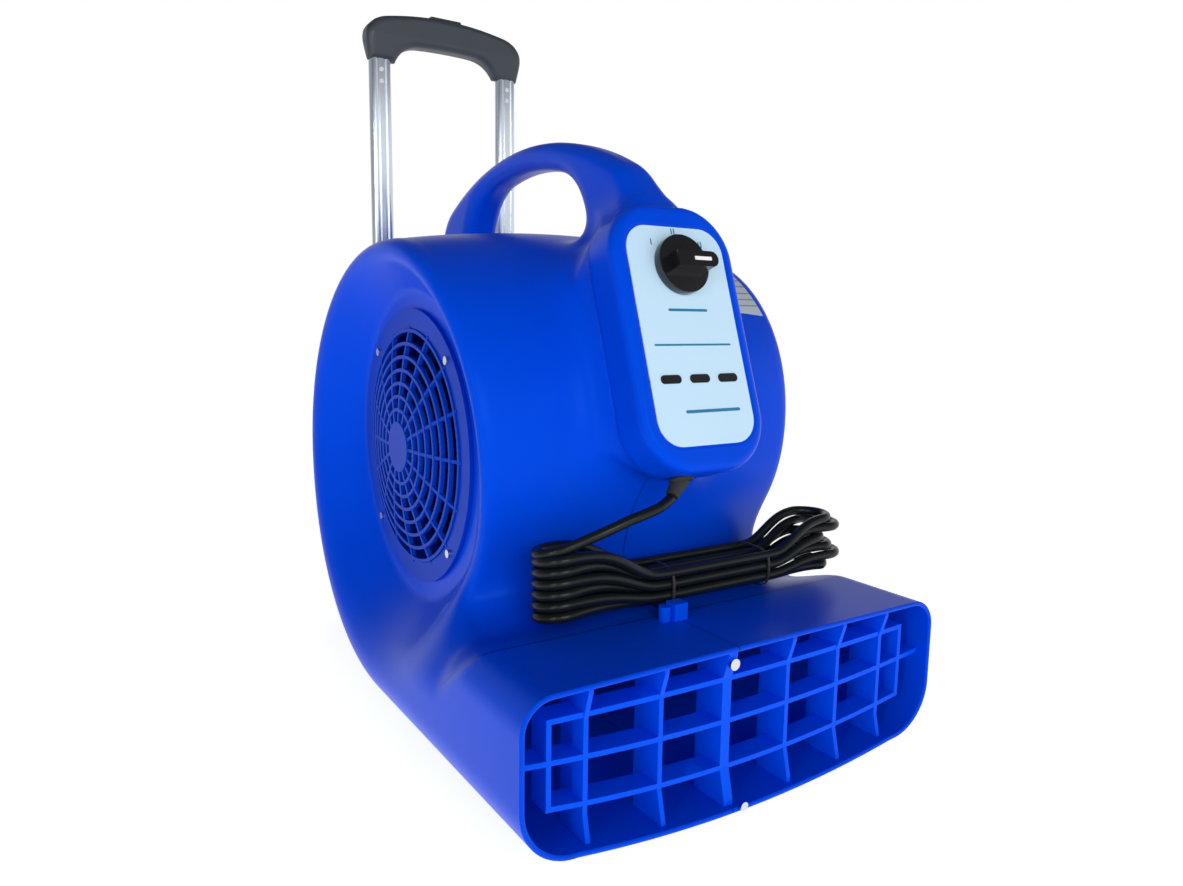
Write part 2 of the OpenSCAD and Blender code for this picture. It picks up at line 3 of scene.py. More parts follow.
import bpy
import numpy as np
from mathutils import Matrix, Vector


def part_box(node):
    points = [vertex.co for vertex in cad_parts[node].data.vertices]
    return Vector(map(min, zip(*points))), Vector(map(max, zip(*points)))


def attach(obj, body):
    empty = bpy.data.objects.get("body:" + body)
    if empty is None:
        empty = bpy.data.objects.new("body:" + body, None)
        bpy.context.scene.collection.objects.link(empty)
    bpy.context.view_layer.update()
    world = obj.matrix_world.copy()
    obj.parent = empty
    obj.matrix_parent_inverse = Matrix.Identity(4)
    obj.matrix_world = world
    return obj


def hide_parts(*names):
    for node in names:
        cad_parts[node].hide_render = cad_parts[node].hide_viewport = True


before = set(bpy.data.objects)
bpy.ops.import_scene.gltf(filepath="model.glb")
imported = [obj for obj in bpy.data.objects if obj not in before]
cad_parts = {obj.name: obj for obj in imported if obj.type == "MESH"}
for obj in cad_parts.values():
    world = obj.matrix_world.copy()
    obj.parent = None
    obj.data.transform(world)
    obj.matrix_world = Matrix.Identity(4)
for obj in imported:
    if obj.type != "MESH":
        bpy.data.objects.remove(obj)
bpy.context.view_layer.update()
MM = 0.001


def cad_mm(name, corner, axis):
    """One coordinate of a CAD node's box: corner is 0 for the lowest or 1 for the highest."""
    return round(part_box(name)[corner][axis] / MM, 3)


# Where the two shells meet, in millimetres.
SEAM_X = cad_mm("right_shell", 0, 0)

# ---------------------------------------------------------------------------
# Camera, light and floor, in metres
# ---------------------------------------------------------------------------

CAMERA_AT = (-0.4498, -0.7527, 0.3767)
# Degrees: turned from +Y towards +X, looking down, and tilted about the line of sight.
CAMERA_TURN = (32.83, 8.31, 0.79)
LENS = 26.61
FLOOR_HALF = 6.0


def make_camera():
    """A camera with no shift, set by its place and three angles."""
    yaw, pitch, roll = (math.radians(a) for a in CAMERA_TURN)
    ahead = Vector((math.sin(yaw) * math.cos(pitch), math.cos(yaw) * math.cos(pitch), -math.sin(pitch)))
    level = Vector((math.cos(yaw), -math.sin(yaw), 0))
    lift = level.cross(ahead)
    right = math.cos(roll) * level + math.sin(roll) * lift
    up = math.cos(roll) * lift - math.sin(roll) * level
    data = bpy.data.cameras.new("camera")
    data.sensor_width = 36
    data.lens = LENS
    data.clip_start = 0.01
    data.clip_end = 50
    camera = bpy.data.objects.new("camera", data)
    bpy.context.scene.collection.objects.link(camera)
    turn = Matrix((right, up, -ahead)).transposed().to_4x4()
    camera.matrix_world = Matrix.Translation(CAMERA_AT) @ turn
    bpy.context.scene.camera = camera


def area_light(name, at, target, size, power):
    data = bpy.data.lights.new(name, "AREA")
    data.shape = "RECTANGLE"
    data.size, data.size_y = size
    data.energy = power
    light = bpy.data.objects.new(name, data)
    light.location = at
    light.rotation_mode = "QUATERNION"
    light.rotation_quaternion = (Vector(target) - Vector(at)).to_track_quat("-Z", "Y")
    bpy.context.scene.collection.objects.link(light)


def make_floor(material):
    half = FLOOR_HALF / MM
    ring = [(-half, -half, 0), (half, -half, 0), (half, half, 0), (-half, half, 0)]
    add_mesh("floor", ring, [(0, 1, 2, 3)], material, smooth=False)


def math_node(tree, operation, first, second=None):
    made = tree.nodes.new("ShaderNodeMath")
    made.operation = operation
    for socket, value in zip(made.inputs, (first, second)):
        if isinstance(value, (int, float)):
            socket.default_value = value
        elif value is not None:
            tree.links.new(value, socket)
    return made.outputs[0]


def make_light():
    """A soft studio: two lamps, and a world that is white round the sides and dim above."""
    world = bpy.data.worlds.new("studio")
    world.use_nodes = True
    tree = world.node_tree
    sky = tree.nodes["Background"]
    sky.inputs["Color"].default_value = (1.0, 1.0, 1.0, 1)
    # A white horizon and a dim ceiling, so that faces turned upward are the dark ones. The wall at the
    # machine's left is dimmer than the others.
    where = tree.nodes.new("ShaderNodeTexCoord")
    split = tree.nodes.new("ShaderNodeSeparateXYZ")
    fade = node(tree, "ShaderNodeMapRange", From_Min=0.36, From_Max=0.52, To_Min=1.02, To_Max=0.10)
    flank = node(tree, "ShaderNodeMapRange", From_Min=-0.75, From_Max=-0.25, To_Min=0.30, To_Max=1.0)
    tree.links.new(where.outputs["Generated"], split.inputs["Vector"])
    tree.links.new(split.outputs["Z"], fade.inputs["Value"])
    tree.links.new(split.outputs["X"], flank.inputs["Value"])
    strength = math_node(tree, "MULTIPLY", fade.outputs["Result"], flank.outputs["Result"])
    # The camera sees plain white behind the machine from every side.
    seen = tree.nodes.new("ShaderNodeLightPath")
    backdrop = tree.nodes.new("ShaderNodeMix")
    backdrop.inputs["B"].default_value = 1.0
    tree.links.new(seen.outputs["Is Camera Ray"], backdrop.inputs["Factor"])
    tree.links.new(strength, backdrop.inputs["A"])
    tree.links.new(backdrop.outputs["Result"], sky.inputs["Strength"])
    bpy.context.scene.world = world
    area_light("key", (-0.7, -2.4, 1.0), (0, 0, 0.25), (1.0, 1.0), 16)
    area_light("strip", (-2.0, -1.3, 0.8), (0, 0, 0.3), (0.2, 1.5), 10)
    bpy.context.scene.view_settings.view_transform = "Standard"


# ---------------------------------------------------------------------------
# Materials
# ---------------------------------------------------------------------------


def node(tree, kind, **inputs):
    made = tree.nodes.new(kind)
    for key, value in inputs.items():
        made.inputs[key.replace("_", " ")].default_value = value
    return made


def surface(name, colour, rough, metal=0.0, tint=None, coat=0.0, grain=(900, 0.04), stretch=(1, 1, 1),
            vary=0.08, lines=(), glow=0.0, ior=1.45):
    """A moulded or metal surface: fine grain, slow random changes of tone and gloss, and dark lines for
    parting lines, print and painted crease shade.

    grain is the grain's scale and depth, stretch draws it out along an axis, and vary is the change of shade.
    Each of lines is (direction, place, width, lowest, highest): a plane's normal, its distance and the line's
    width in metres, and the heights between which the line is drawn.
    """
    made = bpy.data.materials.new(name)
    made.use_nodes = True
    tree = made.node_tree
    link = tree.links.new
    shader = tree.nodes["Principled BSDF"]
    shader.inputs["Metallic"].default_value = metal
    shader.inputs["Coat Weight"].default_value = coat
    shader.inputs["IOR"].default_value = ior
    shader.inputs["Emission Color"].default_value = (1, 1, 1, 1)
    shader.inputs["Emission Strength"].default_value = glow
    if tint:
        shader.inputs["Specular Tint"].default_value = (*tint, 1)
    where = tree.nodes.new("ShaderNodeTexCoord")
    squeeze = node(tree, "ShaderNodeMapping", Scale=stretch)
    link(where.outputs["Object"], squeeze.inputs["Vector"])
    fine = node(tree, "ShaderNodeTexNoise", Scale=grain[0], Detail=3.0)
    slow = node(tree, "ShaderNodeTexNoise", Scale=14.0, Detail=2.0)
    link(squeeze.outputs["Vector"], fine.inputs["Vector"])
    link(where.outputs["Object"], slow.inputs["Vector"])

    shade = tree.nodes.new("ShaderNodeMix")
    shade.data_type = "RGBA"
    shade.inputs["A"].default_value = (*[c * (1 - vary) for c in colour], 1)
    shade.inputs["B"].default_value = (*[min(1, c * (1 + vary)) for c in colour], 1)
    link(slow.outputs["Fac"], shade.inputs["Factor"])
    base = shade.outputs["Result"]
    for line in lines:
        base = dark_line(tree, where, base, colour, *line)
    link(base, shader.inputs["Base Color"])

    gloss = node(tree, "ShaderNodeMapRange", To_Min=rough * 0.85, To_Max=min(1, rough * 1.2))
    link(fine.outputs["Fac"], gloss.inputs["Value"])
    link(gloss.outputs["Result"], shader.inputs["Roughness"])
    bump = node(tree, "ShaderNodeBump", Strength=grain[1], Distance=0.001)
    link(fine.outputs["Fac"], bump.inputs["Height"])
    link(bump.outputs["Normal"], shader.inputs["Normal"])
    return made


LINE_FADE = 0.012


def dark_line(tree, where, base, colour, direction, place, width, lowest, highest):
    """Darkens base along one line, which fades out at both of its ends."""
    link = tree.links.new
    along = tree.nodes.new("ShaderNodeVectorMath")
    along.operation = "DOT_PRODUCT"
    along.inputs[1].default_value = direction
    link(where.outputs["Object"], along.inputs[0])
    away = math_node(tree, "ABSOLUTE", math_node(tree, "SUBTRACT", along.outputs["Value"], place))
    near = node(tree, "ShaderNodeMapRange", From_Min=width * 0.3, From_Max=width, To_Min=0.8, To_Max=0.0)
    link(away, near.inputs["Value"])
    split = tree.nodes.new("ShaderNodeSeparateXYZ")
    link(where.outputs["Object"], split.inputs["Vector"])
    strength = near.outputs["Result"]
    for start, end in ((lowest, lowest + LINE_FADE), (highest, highest - LINE_FADE)):
        band = node(tree, "ShaderNodeMapRange", From_Min=start, From_Max=end)
        link(split.outputs["Z"], band.inputs["Value"])
        strength = math_node(tree, "MULTIPLY", strength, band.outputs["Result"])
    mixed = tree.nodes.new("ShaderNodeMix")
    mixed.data_type = "RGBA"
    mixed.inputs["B"].default_value = (*[c * 0.3 for c in colour], 1)
    link(strength, mixed.inputs["Factor"])
    link(base, mixed.inputs["A"])
    return mixed.outputs["Result"]


def make_materials():
    blue = (0.0, 0.062, 0.72)
    tint = (0.1, 0.4, 1.0)
    # The joint between the shells, drawn as a dark line, and painted shade along the crease where the drum
    # meets the duct's flank.
    joint_and_crease_shade_lines = [((1, 0, 0), SEAM_X * MM, 0.0009, -0.1, 0.30), ((0, 1, 1.2), -0.0468, 0.0016, 0.095, 0.20)]
    label_rows = [((0, 0, 1), height, 0.0009, 0.3, 0.5) for height in (0.388, 0.394, 0.400, 0.407, 0.413)]
    return {
        "shell": surface("shell_plastic", blue, 0.33, tint=tint, lines=joint_and_crease_shade_lines, ior=1.24),
        "pod": surface("pod_plastic", blue, 0.32, tint=tint, ior=1.24),
        "grille": surface("grille_plastic", (0.0, 0.085, 0.88), 0.36, tint=tint, ior=1.24),
        "inner_grille": surface("inlet_plastic", (0.0, 0.042, 0.50), 0.38, tint=tint, ior=1.2),
        "impeller": surface("impeller_plastic", (0.0, 0.012, 0.10), 0.45, tint=tint),
        "panel": surface("panel_film", (0.56, 0.78, 0.97), 0.35, vary=0.03),
        "print": surface("printed_ink", (0.01, 0.19, 0.36), 0.5, vary=0.1),
        "label": surface("label_film", (0.55, 0.62, 0.70), 0.4, vary=0.04, lines=label_rows),
        "lens": surface("lens_black", (0.008, 0.010, 0.014), 0.25, ior=1.3),
        "knob": surface("knob_black", (0.008, 0.008, 0.01), 0.18, coat=0.4, grain=(600, 0.01)),
        "trim": surface("bright_trim", (0.70, 0.72, 0.75), 0.22, metal=1.0),
        "white": surface("white_mark", (0.90, 0.92, 0.93), 0.4, vary=0.03),
        "dark": surface("dark_plastic", (0.02, 0.02, 0.022), 0.5),
        "cream": surface("terminal_plastic", (0.62, 0.58, 0.48), 0.5),
        "cord": surface("cord_sheath", (0.006, 0.009, 0.010), 0.30, grain=(1500, 0.03), ior=1.33),
        "rubber": surface("foot_rubber", (0.02, 0.02, 0.021), 0.7, grain=(700, 0.1)),
        "tyre": surface("tyre_rubber", (0.022, 0.022, 0.023), 0.75, grain=(500, 0.15)),
        "steel": surface("plated_steel", (0.62, 0.63, 0.65), 0.25, metal=1.0, grain=(500, 0.02)),
        "tube": surface("anodised_tube", (0.64, 0.71, 0.80), 0.28, metal=0.85, grain=(700, 0.03),
                        stretch=(1, 1, 0.02)),
        "charcoal": surface("charcoal_plastic", (0.035, 0.045, 0.056), 0.42, grain=(1100, 0.06)),
        "button": surface("button_plastic", (0.022, 0.025, 0.028), 0.35),
        "motor": surface("motor_paint", (0.06, 0.065, 0.07), 0.45),
        "iron": surface("lamination_iron", (0.25, 0.25, 0.26), 0.4, metal=0.9, grain=(300, 0.05),
                        stretch=(6, 1, 1)),
        "copper": surface("winding_varnish", (0.40, 0.16, 0.06), 0.35, metal=0.6, grain=(400, 0.2),
                          stretch=(0.1, 1, 1)),
        "floor": surface("floor_paint", (0.80, 0.80, 0.80), 0.9, grain=(60, 0.01), vary=0.01, glow=0.80),
    }


# ---------------------------------------------------------------------------
# Mesh helpers. Shapes are worked out in millimetres and made in metres.
# ---------------------------------------------------------------------------


def add_mesh(name, points, faces, material, smooth=True, sharp=40):
    mesh = bpy.data.meshes.new(name)
    mesh.from_pydata((np.asarray(points) * MM).tolist(), [], [list(f) for f in faces])
    mesh.materials.append(material)
    mesh.update()
    if smooth:
        mesh.shade_smooth()
        mesh.set_sharp_from_angle(angle=math.radians(sharp))
    made = bpy.data.objects.new(name, mesh)
    bpy.context.scene.collection.objects.link(made)
    return made


def surface_net(shape, low, high, step):
    """The points and four-sided faces of the surface where shape(x, y, z) is nought.

    Each cell of a grid that the surface passes through gets one point, at the mean of the places where the
    surface cuts the cell's edges, and each cut edge of the grid gets a face between its four cells.
    """
    axes = [a + step * np.arange(int(math.ceil((b - a) / step)) + 1) for a, b in zip(low, high)]
    count = [len(a) for a in axes]
    value = np.empty(count, np.float32)
    for i in range(0, count[0], 16):
        x, y, z = np.meshgrid(axes[0][i:i + 16], axes[1], axes[2], indexing="ij")
        value[i:i + 16] = shape(x, y, z)
    inside = value < 0
    corners = [(a, b, c) for a in (0, 1) for b in (0, 1) for c in (0, 1)]
    total = sum(inside[a:count[0] - 1 + a, b:count[1] - 1 + b, c:count[2] - 1 + c].astype(np.int8)
                for a, b, c in corners)
    cells = np.argwhere((total > 0) & (total < 8))
    index = np.full([n - 1 for n in count], -1, np.int32)
    index[tuple(cells.T)] = np.arange(len(cells))
    held = {c: value[tuple((cells + c).T)] for c in corners}
    place = np.zeros((len(cells), 3))
    hits = np.zeros(len(cells))
    for p in corners:
        for axis in range(3):
            if p[axis]:
                continue
            q = tuple(v + (k == axis) for k, v in enumerate(p))
            a, b = held[p], held[q]
            cut = (a < 0) != (b < 0)
            share = a[cut] / (a[cut] - b[cut])
            for k in range(3):
                place[cut, k] += p[k] + (share if k == axis else 0)
            hits[cut] += 1
    points = np.array(low) + step * (cells + place / hits[:, None])
    faces = []
    for axis in range(3):
        u, v = [k for k in range(3) if k != axis]
        a = inside.take(range(count[axis] - 1), axis)
        b = inside.take(range(1, count[axis]), axis)
        at = np.argwhere(a != b)
        at = at[(at[:, u] > 0) & (at[:, v] > 0) & (at[:, u] < count[u] - 1) & (at[:, v] < count[v] - 1)]
        outward = a[tuple(at.T)]
        ring = []
        for du, dv in ((-1, -1), (0, -1), (0, 0), (-1, 0)):
            cell = at.copy()
            cell[:, u] += du
            cell[:, v] += dv
            ring.append(index[tuple(cell.T)])
        quads = np.stack(ring, 1)
        flip = outward if axis != 1 else ~outward
        quads[~flip] = quads[~flip][:, ::-1]
        faces.append(quads)
    return points, np.concatenate(faces)


def slope_of(shape, points, e=0.05):
    """How fast shape grows along X, Y and Z at each point."""
    ways = e * np.eye(3)
    return np.stack([(shape(*(points + way).T) - shape(*(points - way).T)) / (2 * e) for way in ways], 1)


def settle(shape, points, step, rounds=3):
    """Moves points along the slope of shape until they lie on its surface."""
    points = points.copy()
    for _ in range(rounds):
        away = np.clip(shape(*points.T), -step / 2, step / 2)
        slope = slope_of(shape, points)
        size = np.maximum((slope ** 2).sum(1), 0.2)
        points -= (away / size)[:, None] * slope
    return points


def smooth_max(a, b, k):
    """The larger of a and b, blended where they differ by less than k."""
    h = np.maximum(k - np.abs(a - b), 0) / k
    return np.maximum(a, b) + h * h * k / 4


def smooth_min(a, b, k):
    return -smooth_max(-a, -b, k)


def rounded(a, b, r):
    """The distance to a corner between two faces at distances a and b, rounded with radius r."""
    a, b = a + r, b + r
    return np.hypot(np.maximum(a, 0), np.maximum(b, 0)) + np.minimum(np.maximum(a, b), 0) - r


# ---------------------------------------------------------------------------
# Housing
# ---------------------------------------------------------------------------

HALF_W = 205.0
AXIS_Y, AXIS_Z = 9.0, 255.0
# The scroll is four arcs, each smaller than the last by twice HALF_STEP and centred HALF_STEP off the axis.
HALF_STEP = 13.0
ARC_R = [239.0 - 2 * HALF_STEP * k for k in range(4)]
CROWN, RIM, FLAT = 12.0, 45.0, 160.0
MOUTH_Y, ROOF_Z, BELLY_Z = -294.0, 136.0, 3.0
DISH_X, DISH_R, INLET_R = 152.0, 142.0, 112.0
WALL, LIP_EDGE = 4.0, 0.9
FILLET = 80.0
# The control panel's middle, its lean from upright, and the half width, half height, depth and corner
# radius of the control box behind it and of its front's sunken seat.
PANEL_Y, PANEL_Z, LEAN = -201.2, 362.9, math.radians(19.2)
POD_W, POD_L, POD_DEPTH, POD_CORNER = 62.0, 112.0, 38.0, 46.0
SEAT_W, SEAT_L, SEAT_CORNER = 49.6, 91.6, 22.6
# The carry handle: middle (Y, Z) and radius of its outer arc and of its window's, and its other limits.
ARCH_OUTER = (51, 165, 379)
ARCH_WINDOW = (61, 207.5, 312)
ARCH_HALF_W, ARCH_BACK_Y, ARCH_LOW_Z = 20, 262, 300
WINDOW_Y, WINDOW_HALF = 57, 125


def rim_face(x, d):
    """The scroll's crowned face with round rims, where d is the distance to its outline."""
    x = np.abs(x)
    return rounded(x - HALF_W, d + CROWN * np.minimum(x / FLAT, 1) ** 2, RIM)


def scroll_outline(y, z):
    """The distance to the scroll's outline, seen from the side: four arcs that run into each other."""
    y, z = y - AXIS_Y, z - AXIS_Z
    s = HALF_STEP
    rear_low = np.hypot(y + s, z + s) - ARC_R[0]
    rear_high = np.hypot(y - s, z + s) - ARC_R[1]
    front_high = np.hypot(y - s, z - s) - ARC_R[2]
    front_low = np.hypot(y + s, z - s) - ARC_R[3]
    d = np.where((y > s) & (z > -s), rear_high, rear_low)
    d = np.where((z > s) & (y <= s), front_high, d)
    return np.where((y < -s) & (z <= s), front_low, d)


def smooth_step(t):
    t = np.clip(t, 0, 1)
    return t * t * (3 - 2 * t)


def front_outline(y, z):
    """The outline where the scroll meets the outlet duct's roof, with a wide fillet between them."""
    drum = scroll_outline(y, z)
    roof = z - ROOF_Z
    low_z = AXIS_Z + HALF_STEP - ROOF_Z
    corner_y = AXIS_Y - HALF_STEP - math.sqrt(ARC_R[3] ** 2 - low_z ** 2)
    corner = np.hypot(y - corner_y, roof)
    dy, dz = y - AXIS_Y + HALF_STEP, z - AXIS_Z - HALF_STEP
    meets_arc = dz * ARC_R[3] > -low_z * np.hypot(dy, dz)
    to_arc = np.where(meets_arc, np.abs(drum), corner)
    to_roof = np.where(y < corner_y, np.abs(roof), corner)
    nearest = np.minimum(drum, roof)
    d = np.where(nearest < 0, -np.minimum(to_arc, to_roof), nearest)
    fillet = np.maximum(FILLET - np.abs(drum - roof), 0) / FILLET
    return d - fillet ** 2 * FILLET / 4


def body_form(x, y, z):
    """The housing's outer form, open-ended at the mouth."""
    behind = rim_face(x, scroll_outline(y, z))
    duct = smooth_step((-150 - y) / 60) * smooth_step((210 - z) / 40)
    crowned = front_outline(y, z) + (1 - duct) * CROWN * np.minimum(np.abs(x) / FLAT, 1) ** 2
    above = rounded(np.abs(x) - HALF_W, crowned, RIM - 20 * duct)
    below = rim_face(x, BELLY_Z - z)
    form = np.where(y < AXIS_Y - HALF_STEP, np.maximum(above, below), behind)
    r = np.hypot(y - AXIS_Y, z - AXIS_Z)
    bell = (r - DISH_R - (np.abs(x) - DISH_X)) * math.sqrt(0.5)
    dish = smooth_max(bell, DISH_X - np.abs(x), 3)
    return smooth_max(form, -dish, 18)


def panel_frame(x, y, z):
    """Coordinates across the panel, up it and out of it."""
    up = (y - PANEL_Y) * math.sin(LEAN) + (z - PANEL_Z) * math.cos(LEAN)
    out = -(y - PANEL_Y) * math.cos(LEAN) + (z - PANEL_Z) * math.sin(LEAN)
    return x, up, out


def plate(u, v, half_w, half_l, corner):
    """The distance to the edge of a plate with round corners."""
    return rounded(np.abs(u) - half_w, np.abs(v) - half_l, corner)


def disc(y, z, circle):
    middle_y, middle_z, radius = circle
    return np.hypot(y - middle_y, z - middle_z) - radius


def arch(x, y, z):
    """The carry handle that springs from the drum's back and runs forward to the control box."""
    window = smooth_max(disc(y, z, ARCH_WINDOW), np.abs(y - WINDOW_Y) - WINDOW_HALF, 60)
    band = smooth_max(disc(y, z, ARCH_OUTER), y - ARCH_BACK_Y, 30)
    band = smooth_max(band, -window, 4)
    band = np.maximum(band, ARCH_LOW_Z - z)
    return rounded(np.abs(x) - ARCH_HALF_W, band, 15)


def outer_form(x, y, z):
    """The shells' outer surface: drum, duct, the control box's seat and the carry handle."""
    u, v, h = panel_frame(x, y, z)
    seat = np.maximum(plate(u, v, 54, 98, 40), np.maximum(h + POD_DEPTH, -h - 160))
    form = smooth_min(body_form(x, y, z), seat, 44)
    # The arch's front end rounds over and flows down on to the control box's top.
    end = smooth_max(arch(x, y, z), h + 15, 26)
    box = rounded(plate(u, v, POD_W - 17, POD_L - 8, POD_CORNER - 12), h + 10, 14)
    flow = smooth_min(end, np.maximum(box, -h - POD_DEPTH), 46)
    form = smooth_min(form, flow, 30)
    # The shell's edge ends inside the control box's own wall.
    room = np.maximum(plate(u, v, POD_W - 2, POD_L - 2, POD_CORNER - 2), -h - POD_DEPTH + 2)
    return np.maximum(form, -room)


def cavity_form(x, y, z):
    """The shells' inner surface."""
    return body_form(x, y, z) + WALL


def skin(shape, side, step, top):
    """One side's part of a surface, ending cleanly at the shells' joint and at the mouth."""
    # The grid's cells are centred on the joint and on the mouth, so that one row of points falls on each.
    reach = math.ceil((HALF_W + side * -SEAM_X + 5) / step)
    x0 = SEAM_X - step / 2 - step * (1 if side > 0 else reach)
    x1 = x0 + step * (reach + 1)
    y0 = MOUTH_Y - 1.5 * step
    points, faces = surface_net(shape, (x0, y0, -3 * step / 2), (x1, 270, top), step)
    joint = np.abs(points[:, 0] - SEAM_X) < step / 2
    mouth = np.abs(points[:, 1] - MOUTH_Y) < step / 2
    beyond = (side * (points[:, 0] - SEAM_X) < -step / 2) | (points[:, 1] < MOUTH_Y - step / 2)
    # Where the surface runs along the joint, as on the arch's flank, it stays whole on the right-hand shell.
    along = joint[faces].all(1)
    joint[faces[along].ravel()] = False
    points = settle(shape, points, step)
    points[joint, 0] = SEAM_X
    points[mouth, 1] = MOUTH_Y
    middle = points[faces].mean(1)
    inlet = np.hypot(middle[:, 1] - AXIS_Y, middle[:, 2] - AXIS_Z) < INLET_R + 2
    kept = ~beyond[faces].any(1) & ~(inlet & (np.abs(middle[:, 0]) > DISH_X - 10))
    if side < 0:
        kept &= ~along
    return points, faces[kept]


def mouth_lip(points, faces):
    """The lip between the outer skin and the inner one, along the outer skin's edge at the mouth."""
    at_mouth = points[:, 1] == MOUTH_Y
    edges = {}
    for face in faces[at_mouth[faces].any(1)]:
        for a, b in zip(face, np.roll(face, -1)):
            if at_mouth[a] and at_mouth[b]:
                edges[(a, b)] = edges.get((a, b), 0) + 1
    rim = [(a, b) for a, b in edges if (b, a) not in edges]
    used = sorted({a for edge in rim for a in edge})
    spot = {a: k for k, a in enumerate(used)}
    outer = points[used]
    # The skins' direction across the wall, taken a little way inside the mouth.
    slope = slope_of(body_form, outer + (0, 60, 0))[:, [0, 2]]
    slope /= np.linalg.norm(slope, axis=1)[:, None]
    n = len(used)
    rings = []
    for depth, forward in ((0, 0), (LIP_EDGE, 1.0), (WALL - LIP_EDGE, 1.0), (WALL, 0)):
        ring = outer.copy()
        ring[:, 0] -= depth * slope[:, 0]
        ring[:, 2] -= depth * slope[:, 1]
        ring[:, 1] -= forward
        rings.append(ring)
    quads = [(k * n + spot[b], k * n + spot[a], (k + 1) * n + spot[a], (k + 1) * n + spot[b])
             for k in range(3) for a, b in rim]
    return np.concatenate(rings), np.array(quads)


def make_shells(material):
    """Each half of the housing: an outer skin, an inner skin and the lip that joins them at the mouth."""
    for name, side in (("left_shell", -1), ("right_shell", 1)):
        points, faces = skin(outer_form, side, 3.0, 549)
        lip_points, lip_faces = mouth_lip(points, faces)
        inner_points, inner_faces = skin(cavity_form, side, 6.0, 455)
        parts = [(points, faces), (lip_points, lip_faces), (inner_points, inner_faces[:, ::-1])]
        start = np.cumsum([0] + [len(p) for p, _ in parts])
        made = add_mesh(name + "_moulding", np.concatenate([p for p, _ in parts]),
                        np.concatenate([f + k for (_, f), k in zip(parts, start)]), material, sharp=50)
        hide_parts(name)
        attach(made, "housing")


def make_pod(material):
    """The control box, with a sunken seat for the panel's film."""
    def pod(x, y, z):
        u, v, h = panel_frame(x, y, z)
        edge = plate(u, v, POD_W, POD_L, POD_CORNER)
        front = rounded(edge, h, 8)
        rear = rounded(edge, -h - POD_DEPTH, 3)
        sunk = np.maximum(plate(u, v, SEAT_W, SEAT_L, SEAT_CORNER), -h - 1.0)
        return smooth_max(np.maximum(front, rear), -sunk, 0.6)
    low, high = (-66, -252, 244), (66, -118, 482)
    step = 2.0
    points, faces = surface_net(pod, low, high, step)
    made = add_mesh("control_box_moulding", settle(pod, points, step), faces, material, sharp=50)
    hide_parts("control_box")
    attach(made, "housing")


# ---------------------------------------------------------------------------
# Trolley handle
# ---------------------------------------------------------------------------

HANDLE_Y = 285.0
GRIP_LOW, GRIP_TOP = 666, 723
# Half the grip's width at its feet, how much wider its shoulders are, where its legs' inner faces are, and
# the release button's slot: half its width, half its depth and its floor.
GRIP_HALF_W, GRIP_FLARE, LEG_X = 95.5, 5.5, 66
BUTTON_SLOT = (20.4, 6.4, 699.8)


def make_grip(material):
    """The moulded grip: crowned on top, hollowed below for the fingers, and thicker above than below."""
    def grip(x, y, z):
        wide, deep = np.abs(x), np.abs(y - HANDLE_Y)
        top = z - (GRIP_TOP - 13 * (x / 98) ** 2)
        side = wide - GRIP_HALF_W - GRIP_FLARE * np.clip((z - GRIP_LOW) / 34, 0, 1)
        gap = smooth_max(wide - LEG_X, z - (688 - 3 * (x / 58) ** 2), 34)
        outline = smooth_max(smooth_max(top, side, 26), -gap, 5)
        outline = np.maximum(outline, GRIP_LOW - z)
        thick = 8.2 + 5.3 * np.clip((z - 668) / 26, 0, 1) ** 0.7
        half_w, half_d, floor_z = BUTTON_SLOT
        slot = np.maximum(np.maximum(wide - half_w, deep - half_d), floor_z - z)
        return np.maximum(rounded(deep - thick, outline, 7), -slot)
    step = 1.6
    points, faces = surface_net(grip, (-105, 268, 662), (105, 302, 727), step)
    made = add_mesh("grip_moulding", settle(grip, points, step), faces, material, sharp=50)
    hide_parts("grip")
    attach(made, "trolley_handle")


def tube_outline(width, depth, grooves):
    """A flat oval outline whose two broad faces carry shallow grooves."""
    flat = (width - depth) / 2
    xs = np.linspace(-flat, flat, 41)
    dip = sum(0.7 * np.exp(-((xs - g) / 1.1) ** 2) for g in grooves)
    front = [(x, -depth / 2 + d) for x, d in zip(xs, dip)]
    turn = [math.radians(a) for a in range(-80, 90, 10)]
    right = [(flat + depth / 2 * math.cos(a), depth / 2 * math.sin(a)) for a in turn]
    return front + right + [(-x, -y) for x, y in front] + [(-x, -y) for x, y in right]


def make_tube(name, node_name, x, low, high, material):
    outline = tube_outline(26, 13, (-4.5, 4.5))
    n = len(outline)
    heights = (low, low + 0.6, high - 0.6, high)
    scale = (0.96, 1, 1, 0.96)
    points = [(x + s * a, HANDLE_Y + s * b, z) for z, s in zip(heights, scale) for a, b in outline]
    faces = [(i * n + k, i * n + (k + 1) % n, (i + 1) * n + (k + 1) % n, (i + 1) * n + k)
             for i in range(3) for k in range(n)]
    faces += [tuple(range(n))[::-1], tuple(range(3 * n, 4 * n))]
    made = add_mesh(name, points, faces, material, sharp=35)
    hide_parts(node_name)
    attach(made, "trolley_handle")


def make_inner_tubes(material):
    for side in ("left", "right"):
        name = side + "_inner_tube"
        x = (cad_mm(name, 0, 0) + cad_mm(name, 1, 0)) / 2
        make_tube(side + "_inner_extrusion", name, x, cad_mm(name, 0, 2), cad_mm(name, 1, 2), material)


# ---------------------------------------------------------------------------
# Cord
# ---------------------------------------------------------------------------

CORD_D = 8.5
# The hank: its middle, the height of its lowest turn, and its folds' radius and middles.
HANK_Y, HANK_Z = -190.0, 142.2
FOLD_R = 19.0
LEFT_X, RIGHT_X = -114.0, 162.0
LAYERS, GAP = 7, 8.8
# How far each right-hand fold's middle lies past RIGHT_X, from the lowest fold up.
RIGHT_TIPS = (-12, 4, -7, -18, 2, -10)
